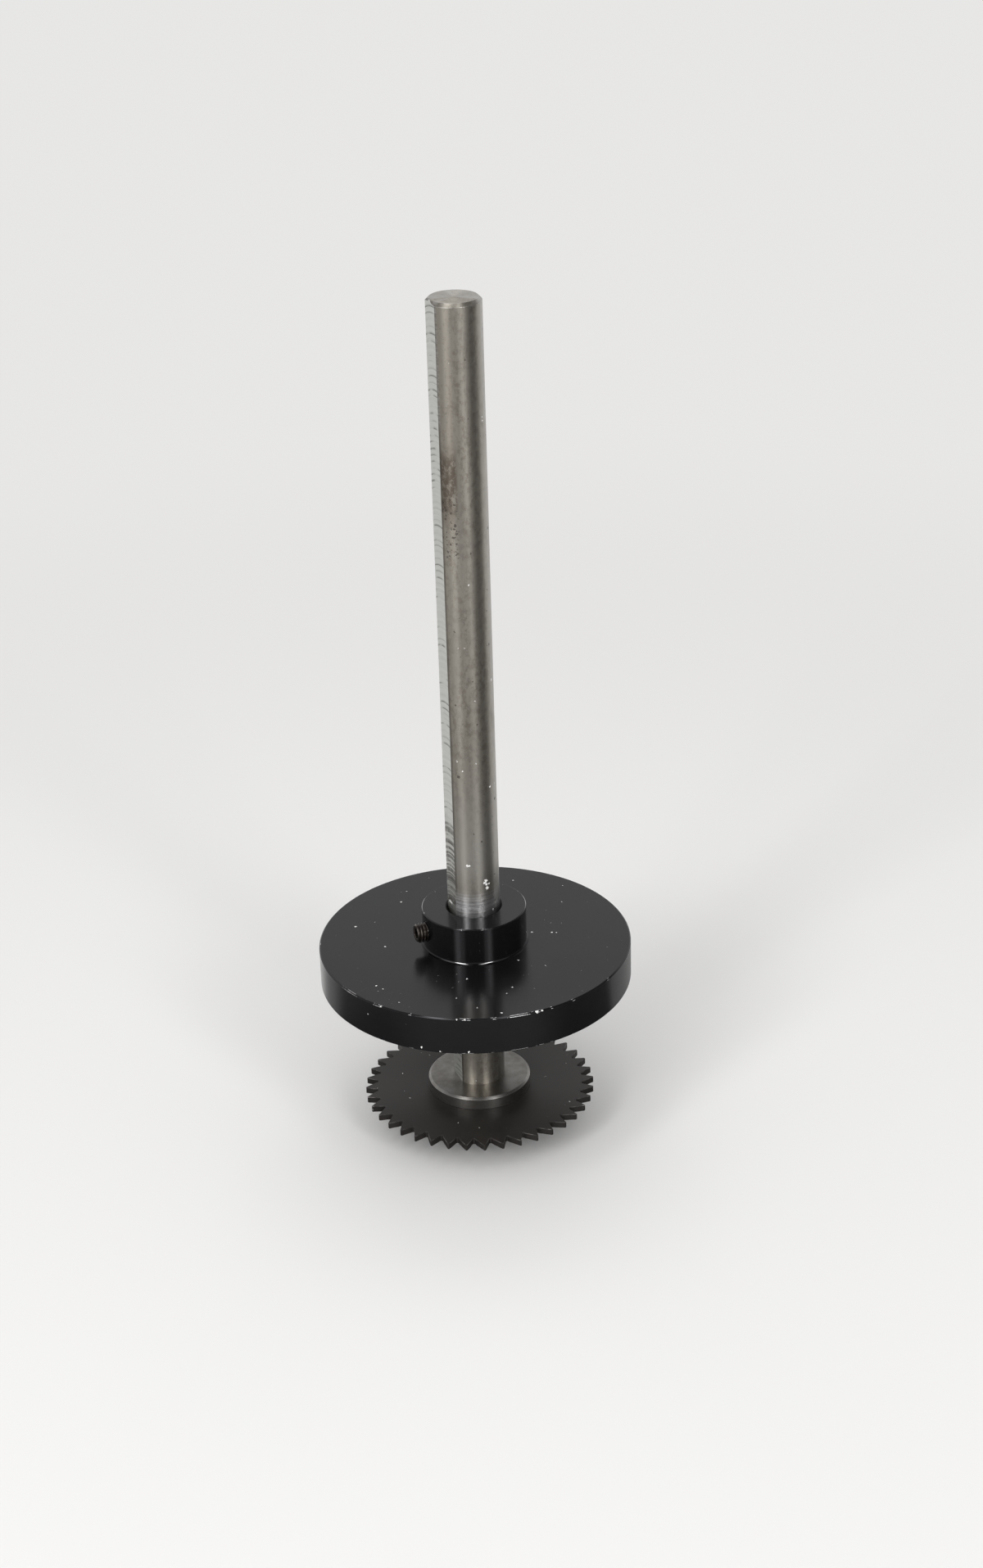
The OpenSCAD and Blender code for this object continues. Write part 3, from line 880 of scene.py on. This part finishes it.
def shaft_steel():
    """Ground bar: warm grey steel with long faint streaks, cleaner on the right and paler towards the stop,
    a brown stain with pits beside the flat, rings rubbed bright, painted shade on the right just above the
    stop and in a thin line beside the flat's edge, three faint grip marks on the shank, and a paler milled
    flat with curved feed marks, darkened near the stop by a painted reflection of the dark stop and marked
    with bites where the set screw has bitten it. A feed mark is an arc: height less
    sqrt(FEED_R^2 - (y - FEED_Y)^2) stays the same along it."""
    material, g, point, edge = new_material("shaft_steel")
    radius, angle, height = g.place(ROUND_PLACE, Point=point).values()
    x, y, _ = g.split(point)
    flat = g.fall(x, -FLAT_X + 0.01 * MM, -FLAT_X + 0.03 * MM)
    # Band just beside the flat's edge, which carries a line of painted shade
    corner = g.fall(x, -FLAT_X + 0.1 * MM, -FLAT_X + 0.45 * MM)

    streak = g.grain(point, (900, 900, 25), 3, 0.6)
    tint = g.grain(point, (380, 380, 45), 2)
    grit = g.noise(point, 2600, 2, 0.6)
    patch = g.grain(point, (800, 800, 520), 6, 0.72)
    beside = g.fall(abs(angle - STAIN_ANGLE), 0.26, 0.44)
    beside *= g.ramp(radius, 0.88 * SHAFT_R, 0.96 * SHAFT_R)
    below = g.ramp(height, -3 * MM, 4 * MM, 1, 0.25)
    dense = beside * (below * g.ramp(height, -19 * MM, -11 * MM, 0.12, 1))
    stain = dense * g.ramp(patch, 0.34, 0.55)
    haze = g.ramp(g.grain(point, (300, 300, 70), 5, 0.65), 0.5, 0.75)
    stain = g.larger(stain, haze * 0.35)
    pits = specks(g, point, 1500, 0.95, 0.55)
    pitted = g.ramp(height, -29 * MM, -21 * MM) * g.ramp(height, -12 * MM, -9 * MM, 1, 0.3)
    pits *= g.ramp(beside * pitted, 0.1, 0.8)
    lone_pits = specks(g, point, 620, 0.3, 0.16)
    lone_pits = g.larger(lone_pits, flakes_at(g, point, on_round(SHAFT_R, BAR_PITS)))
    pits = g.larger(pits, lone_pits)
    rubbed = g.fall(height, HUB_TOP + 3 * MM, HUB_TOP + 8 * MM)
    rubbed *= g.ramp(height, HUB_TOP - 30 * MM, HUB_TOP - 2 * MM)
    rings = tool_marks(g, height, 0.16 * MM)
    wide_rings = tool_marks(g, height, 0.45 * MM)
    grips = abs(g.math("SINE", angle * 1.5 + GRIP_TURN))
    grips = g.fall(grips + patch * 0.12, 0.24, 0.3)
    grips *= g.ramp(height, 5 * MM, 8 * MM)
    grips *= g.ramp(rings, 0.42, 0.58, 0.25, 1)
    dust = specks(g, point, 260, 0.3, 0.09)
    dust = g.larger(dust, flakes_at(g, point, on_round(SHAFT_R, BAR_FLAKES) + FLAT_FLAKES))

    bare = g.mix(streak, (0.345, 0.31, 0.262), (0.475, 0.452, 0.404))
    bare = g.mix(g.fall(patch, 0.38, 0.56, 0.55), bare, (0.2, 0.175, 0.145))
    bare = g.mix(g.ramp(tint, 0.35, 0.65, 0, 0.45), bare, (0.39, 0.368, 0.328))
    bare = g.mix(g.ramp(angle, CLEAN_FROM, CLEAN_TO, 0, 0.6), bare, (0.5, 0.488, 0.46))
    low_down = g.fall(height, HUB_TOP + 4 * MM, HUB_TOP + 14 * MM)
    paler = g.fall(height, HUB_TOP + 12 * MM, HUB_TOP + 45 * MM, 0.6) * (1 - low_down)
    bare = g.mix(paler, bare, (0.56, 0.545, 0.51))
    bare = g.mix(stain * 0.85, bare, (0.11, 0.087, 0.066))
    # Painted shade: a thin dark line along the round side of the flat's edge
    bare = g.mix(corner * 0.6, bare, (0.1, 0.092, 0.08))
    shine = rubbed * g.ramp(wide_rings, 0.4, 0.6, 0.45, 0.9)
    bare = g.mix(shine, bare, (0.74, 0.745, 0.765))
    bare = g.mix(grips * 0.35, bare, (0.6, 0.595, 0.58))
    # Painted shade: the bar's right side is darkened just above the stop
    right_side_shade = low_down * g.ramp(angle, SHADE_FROM, SHADE_TO, 0, 0.75)
    bare = g.mix(right_side_shade, bare, (0.13, 0.128, 0.12))
    bare = g.mix(pits * 0.8, bare, (0.045, 0.034, 0.026))

    feed = height - g.math("SQRT", FEED_R**2 - g.math("POWER", y - FEED_Y, 2))
    cuts = g.line_noise(feed, 0.8 * MM, 2, 0.6)
    wander = g.line_noise(feed, 7 * MM, 1)
    weight = g.line_noise(feed, 3.2 * MM, 1)
    step = g.math("FRACT", feed / (1.55 * MM) + wander * 1.5)
    lines = g.fall(step, 0.05, 0.4)
    heavy = g.ramp(height, -13 * MM, -7 * MM) * g.ramp(height, 3 * MM, 10 * MM, 1, 0.2)
    heavy = g.larger(heavy, g.ramp(height, -92 * MM, -104 * MM))
    deep = lines * g.ramp(weight + heavy * 0.16, 0.46, 0.6, 0.15, 1)
    chatter = deep * g.ramp(g.noise(point, 230, 1), 0.38, 0.6, 0.1, 1)
    # Stretch of the flat near the stop: set screw bites, and a painted reflection of the dark stop
    bitten_and_shaded = g.ramp(height, -91 * MM, -96 * MM) * g.ramp(height, -150 * MM, -138 * MM)
    bites = g.line_noise(feed, 1.9 * MM, 3, 0.7)
    bites = g.ramp(bites, 0.44, 0.54) * g.ramp(patch, 0.36, 0.5, 0.35, 1)
    bites *= bitten_and_shaded * flat
    milled = g.mix(cuts, (0.5, 0.505, 0.48), (0.64, 0.645, 0.62))
    milled = g.mix(chatter * 0.7, milled, (0.13, 0.126, 0.112))
    # Painted reflection: the flat is darkened near the stop as if it mirrored the dark stop
    milled = g.mix(bitten_and_shaded * 0.35, milled, (0.26, 0.25, 0.22))
    milled = g.mix(bites * 0.9, milled, (0.06, 0.056, 0.048))

    colour = g.mix(flat, bare, milled)
    colour = g.mix(edge * 0.5, colour, (0.6, 0.59, 0.57))
    g.set("Metallic", 1 - g.larger(dust, g.larger(pits, bites) * 0.5))

    gloss = g.blend(rubbed, 0.36 + streak * 0.12 + stain * 0.14, 0.3)
    gloss = g.blend(flat, gloss, 0.4 + chatter * 0.15)
    dusty(g, dust, colour, gloss)
    grain_round_shaft(g, point, 0.7)

    relief = streak * 0.25 + grit * 0.25 + rubbed * (rings * 4.5) - (pits + grips * 0.4) * 0.9
    relief = g.blend(flat, relief, cuts * 0.6 - chatter * 0.9 - bites * 2.4)
    g.bump(relief + dust * 4, 0.02 * MM)
    return material


def black_anodise():
    """Satin black anodise over turned aluminium: faint rings and smudges, white dust, and chips along the
    corners that show bare metal. The hub's foot and the lip round its top are polished: the foot glints
    where it faces the eye, but for a dull stretch, and the lip where it is seen edge on."""
    material, g, point, edge = new_material("black_anodise")
    radius, angle, height = g.place(ROUND_PLACE, Point=point).values()
    across = tool_marks(g, radius + height, 0.22 * MM)
    smudge = g.noise(point, 95, 4, 0.6)
    dust = specks(g, point, 400, 0.1, 0.08)
    on_top = [(x * MM, y * MM, DISC_TOP, size * MM) for x, y, size in TOP_FLAKES]
    dust = g.larger(dust, flakes_at(g, point, on_top + on_round(DISC_R, RIM_FLAKES)))
    fine_dust = specks(g, point, 900, 0.25, 0.1)
    side = g.ramp(radius, DISC_R - 0.15 * MM, DISC_R - 0.02 * MM)
    hub_side = g.fall(abs(radius - HUB_R), 0.02 * MM, 0.1 * MM, 0.9)
    fine_dust *= 1 - g.larger(side, hub_side)
    dust = g.larger(dust, fine_dust * 0.5)
    scratch = scratches(g, point, (70, 160, 70), 0.0035, 0.62)
    scratch *= 1 - side
    ragged = g.noise(point, 1500, 3, 0.7)
    chips = g.ramp(edge * 0.5 + ragged, 0.93, 1)
    foot = g.ramp(radius, HUB_R + 0.05 * MM, HUB_R + 0.12 * MM)
    foot *= g.fall(radius, HUB_R + 0.4 * MM, HUB_R + 0.55 * MM)
    foot *= g.ramp(height, DISC_TOP - 1 * MM, DISC_TOP)
    dust *= 1 - foot

    colour = g.mix(smudge, (0.003, 0.003, 0.0034), (0.007, 0.007, 0.0074))
    colour = g.mix(scratch * 0.35, colour, (0.12, 0.12, 0.12))
    colour = g.mix(chips, colour, (0.8, 0.8, 0.8))
    g.set("Metallic", g.larger(foot * 0.7, chips * 0.6))
    facing = g.add("ShaderNodeLayerWeight", {"Blend": 0.5}, "Facing")
    glint = foot * g.fall(facing, 0.1, 0.2)
    glint *= g.ramp(abs(angle - FOOT_DULL), math.radians(4.5), math.radians(9.5))
    dusty(g, dust, colour, g.blend(chips, 0.13 + smudge * 0.09, 0.4))
    g.set("IOR", 1.46)
    lip = g.ramp(radius, HUB_R - HUB_CHAMFER, HUB_R - 0.14 * MM)
    lip *= g.ramp(height, HUB_TOP - HUB_CHAMFER, HUB_TOP - 0.14 * MM)
    lip *= g.ramp(facing, 0.5, 0.68)
    g.set("Coat Weight", g.larger(glint, lip))
    g.set("Coat IOR", 3)
    g.set("Coat Roughness", 0.06)
    g.set("Specular Tint", (0.97, 0.96, 1))
    grain_round_shaft(g, point, 0.75)
    g.bump(across * g.blend(side, 0.12, 2.4) - chips * 2 + dust * 5, 0.01 * MM)
    return material


def black_oxide():
    """Black oxide gone brown, rubbed to bare steel on thread crests and the socket's lip."""
    material, g, point, edge = new_material("black_oxide")
    bloom = g.noise(point, 900, 4, 0.65)
    grit = g.noise(point, 4500)
    worn = g.ramp(edge, 0.75, 1) * g.ramp(bloom, 0.4, 0.6)
    colour = g.mix(bloom, (0.016, 0.014, 0.013), (0.058, 0.045, 0.037))
    g.set("Base Color", g.mix(worn * 0.6, colour, (0.38, 0.34, 0.31)))
    g.set("Metallic", 0.85)
    g.set("Roughness", 0.24 + bloom * 0.2)
    g.bump(grit, 0.012 * MM)
    return material


def turned_steel():
    """Plain turned steel: concentric cutting rings, a little tarnish, bright corners."""
    material, g, point, edge = new_material("turned_steel")
    radius, _, height = g.place(ROUND_PLACE, Point=point).values()
    rings = tool_marks(g, radius + height, 0.16 * MM)
    tarnish = g.noise(point, 240, 4, 0.6)
    colour = g.mix(g.ramp(tarnish, 0.3, 0.7), (0.33, 0.32, 0.305), (0.23, 0.215, 0.195))
    g.set("Base Color", g.mix(edge * 0.5, colour, (0.52, 0.51, 0.5)))
    g.set("Metallic", 1)
    g.set("Roughness", 0.26 + tarnish * 0.16)
    grain_round_shaft(g, point, 0.5)
    g.bump(rings, 0.015 * MM)
    return material


def blade_black():
    """Blackened hardened steel: grinding rings on the disc, brown-grey bloom, scratches and dust, and
    corners of the teeth rubbed paler."""
    material, g, point, edge = new_material("blade_black")
    radius, _, _ = g.place(ROUND_PLACE, Point=point).values()
    rings = tool_marks(g, radius, 0.3 * MM)
    bloom = g.noise(point, 180, 5, 0.65)
    grit = g.noise(point, 3200)
    scratch = scratches(g, point, (120, 260, 120), 0.006, 0.58)
    worn = g.ramp(edge, 0.6, 1) * g.ramp(g.noise(point, 700, 3), 0.42, 0.6)
    dust = specks(g, point, 520, 0.4, 0.09)
    colour = g.mix(bloom, (0.012, 0.011, 0.0105), (0.036, 0.031, 0.027))
    colour = g.mix(scratch * 0.4, colour, (0.16, 0.15, 0.14))
    colour = g.mix(worn * 0.55, colour, (0.3, 0.285, 0.27))
    g.set("Metallic", g.larger(0.25, worn * 0.9) * (1 - dust))
    dusty(g, dust, colour, g.blend(worn, 0.32 + bloom * 0.2, 0.34))
    grain_round_shaft(g, point, 0.6)
    g.bump(rings * 0.5 + grit * 0.4 + dust * 5, 0.012 * MM)
    return material


def zinc_plate():
    """Bright zinc plate: pale, slightly blue and yellow by turns, with dull spots."""
    material, g, point, edge = new_material("zinc_plate")
    tint = g.noise(point, 330, 3)
    dull = g.ramp(g.noise(point, 900, 4, 0.65), 0.5, 0.7)
    grit = g.noise(point, 5200, 1)
    colour = g.mix(tint, (0.6, 0.61, 0.62), (0.64, 0.6, 0.52))
    colour = g.mix(dull * 0.35, colour, (0.4, 0.39, 0.37))
    g.set("Base Color", g.mix(edge * 0.4, colour, (0.72, 0.71, 0.69)))
    g.set("Metallic", 1)
    g.set("Roughness", 0.24 + dull * 0.2)
    g.bump(grit, 0.006 * MM)
    return material


# Stage

def pale_floor():
    """Plain pale floor under the lowest point. Far from the tool it is an even pale tone, so that it has no
    horizon. Gloss sees it with painted shade, as bright or dim as the room is on that side, and with a
    painted shadow close to the tool."""
    half = 6
    corners = [(half * x, half * y, FLOOR_Z) for x, y in ((-1, -1), (1, -1), (1, 1), (-1, 1))]
    mesh = bpy.data.meshes.new("floor")
    mesh.from_pydata(corners, [], [(0, 1, 2, 3)])
    floor = add_object("floor", mesh)
    material, g, point, _ = new_material("pale_floor")
    radius, _, _ = g.place(ROUND_PLACE, Point=point).values()
    path = g.all("ShaderNodeLightPath")
    room = g.place(ROOM_TONE, Direction=point)
    # Painted shade for gloss: the room's level on that side, and a painted shadow near the tool
    tone = room["Level"] * g.blend(g.ramp(radius, 0.06, 0.26), room["PaintedShadow"], 1)
    # Gloss sees the floor's colour darkened by this painted shade and painted shadow
    colour = g.mix(path["Is Glossy Ray"] * (1 - tone), PALE, (0, 0, 0))
    g.set("Base Color", colour)
    g.set("Roughness", 0.9)
    g.set("Specular IOR Level", 0)
    even = g.add("ShaderNodeEmission", {"Color": colour})
    far = g.larger(path["Is Camera Ray"], path["Is Glossy Ray"]) * g.ramp(radius, 0.2, 0.55)
    near = Value(g, g.shader.outputs[0])
    both = g.add("ShaderNodeMixShader", {0: far, 1: near, 2: even})
    g.feed(material.node_tree.nodes["Material Output"].inputs["Surface"], both)
    mesh.materials.append(material)


def soft_world():
    """Even soft light from all round and above. What the camera sees directly is pale, and gloss sees the
    room, dimmer high up."""
    world = bpy.data.worlds.new("studio")
    world.use_nodes = True
    bpy.context.scene.world = world
    g = Graph(world.node_tree)
    way = g.add("ShaderNodeTexCoord", output="Generated")
    path = g.all("ShaderNodeLightPath")
    tone = g.place(ROOM_TONE, Direction=way, Turn=-0.5)["Level"]
    _, _, up = g.split(way)
    even = g.ramp(up, -0.2, 1, 0.33, 0.56)
    glossy = tone * g.ramp(up, 0.4, 0.75, 0.73, 0.3)
    level = g.blend(path["Is Glossy Ray"], even, glossy)
    shade = g.add("ShaderNodeCombineColor", {0: level, 1: level, 2: level})
    colour = g.mix(path["Is Camera Ray"], shade, PALE)
    g.feed(world.node_tree.nodes["Background"].inputs["Color"], colour)


def soft_box(name, azimuth, elevation, distance, width, height, watts):
    """Area light that looks at the middle of the stop from an azimuth, counted as the views are, and an
    elevation, both in degrees."""
    light = bpy.data.lights.new(name, "AREA")
    light.shape = "RECTANGLE"
    light.size = width
    light.size_y = height
    light.energy = watts
    lamp = add_object(name, light)
    a, e = math.radians(azimuth), math.radians(elevation)
    away = np.array([math.sin(a) * math.cos(e), -math.cos(a) * math.cos(e), math.sin(e)])
    lamp.location = away * distance + np.array([0, 0, DISC_TOP])
    lamp.rotation_euler = (math.pi / 2 - e, 0, a)


# Each lamp's name, azimuth, elevation, distance, width, height and watts
SOFT_BOXES = [
    ("key_left", -54, 29, 1.5, 0.54, 0.6, 5.5),
    ("key_left_middle", -57, 29, 1.45, 0.2, 0.3, 2),
    ("key_left_strip", -59, 60, 1.5, 0.24, 1.2, 4.4),
    ("fill_right", 10, 29, 1.5, 0.42, 0.6, 4),
    ("fill_right_middle", 12, 29, 1.45, 0.16, 0.3, 1.5),
    ("fill_right_strip", 9, 60, 1.5, 0.2, 1.2, 2),
    ("back_top", 160, 55, 1.4, 1.2, 0.6, 2.5),
]


def photo_camera():
    """Camera solved from the photograph: place, turn and focal length, for a 1200 by 1915 picture."""
    focal_pixels = 3248.25
    picture_height = 1915
    camera = bpy.data.cameras.new("camera")
    camera.sensor_fit = "VERTICAL"
    camera.sensor_height = 36
    camera.lens = focal_pixels / picture_height * camera.sensor_height
    holder = add_object("camera", camera)
    holder.location = (-189.26 * MM, -536.17 * MM, 193.40 * MM)
    holder.rotation_euler = [math.radians(a) for a in (63.948, 1.531, -20.712)]
    bpy.context.scene.camera = holder


photo_camera()
pale_floor()
soft_world()
for lamp_values in SOFT_BOXES:
    soft_box(*lamp_values)

steel = turned_steel()
zinc = zinc_plate()
place(shaft_skin(), "arbor", "shaft", shaft_steel())
place(stop_flange_skin(), "depth_stop", "stop_flange", black_anodise())
place(set_screw_skin(), "set_screw", "stop_set_screw", black_oxide())
place(blade_washer_skin("backing_washer", backing_low.z, backing_high.z, WASHER_BORE_R, False),
      "arbor", "blade_backing_washer", steel)
place(saw_blade_skin(), "arbor", "saw_blade", blade_black())
place(blade_washer_skin("clamp_washer", clamp_low.z, clamp_high.z, SCREW_HOLE_R, True),
      "arbor", "blade_clamp_washer", steel)
place(lock_washer_skin(), "arbor", "lock_washer", zinc)
place(blade_screw_skin(), "arbor", "blade_screw", zinc)

bpy.context.scene.view_settings.view_transform = "Standard"
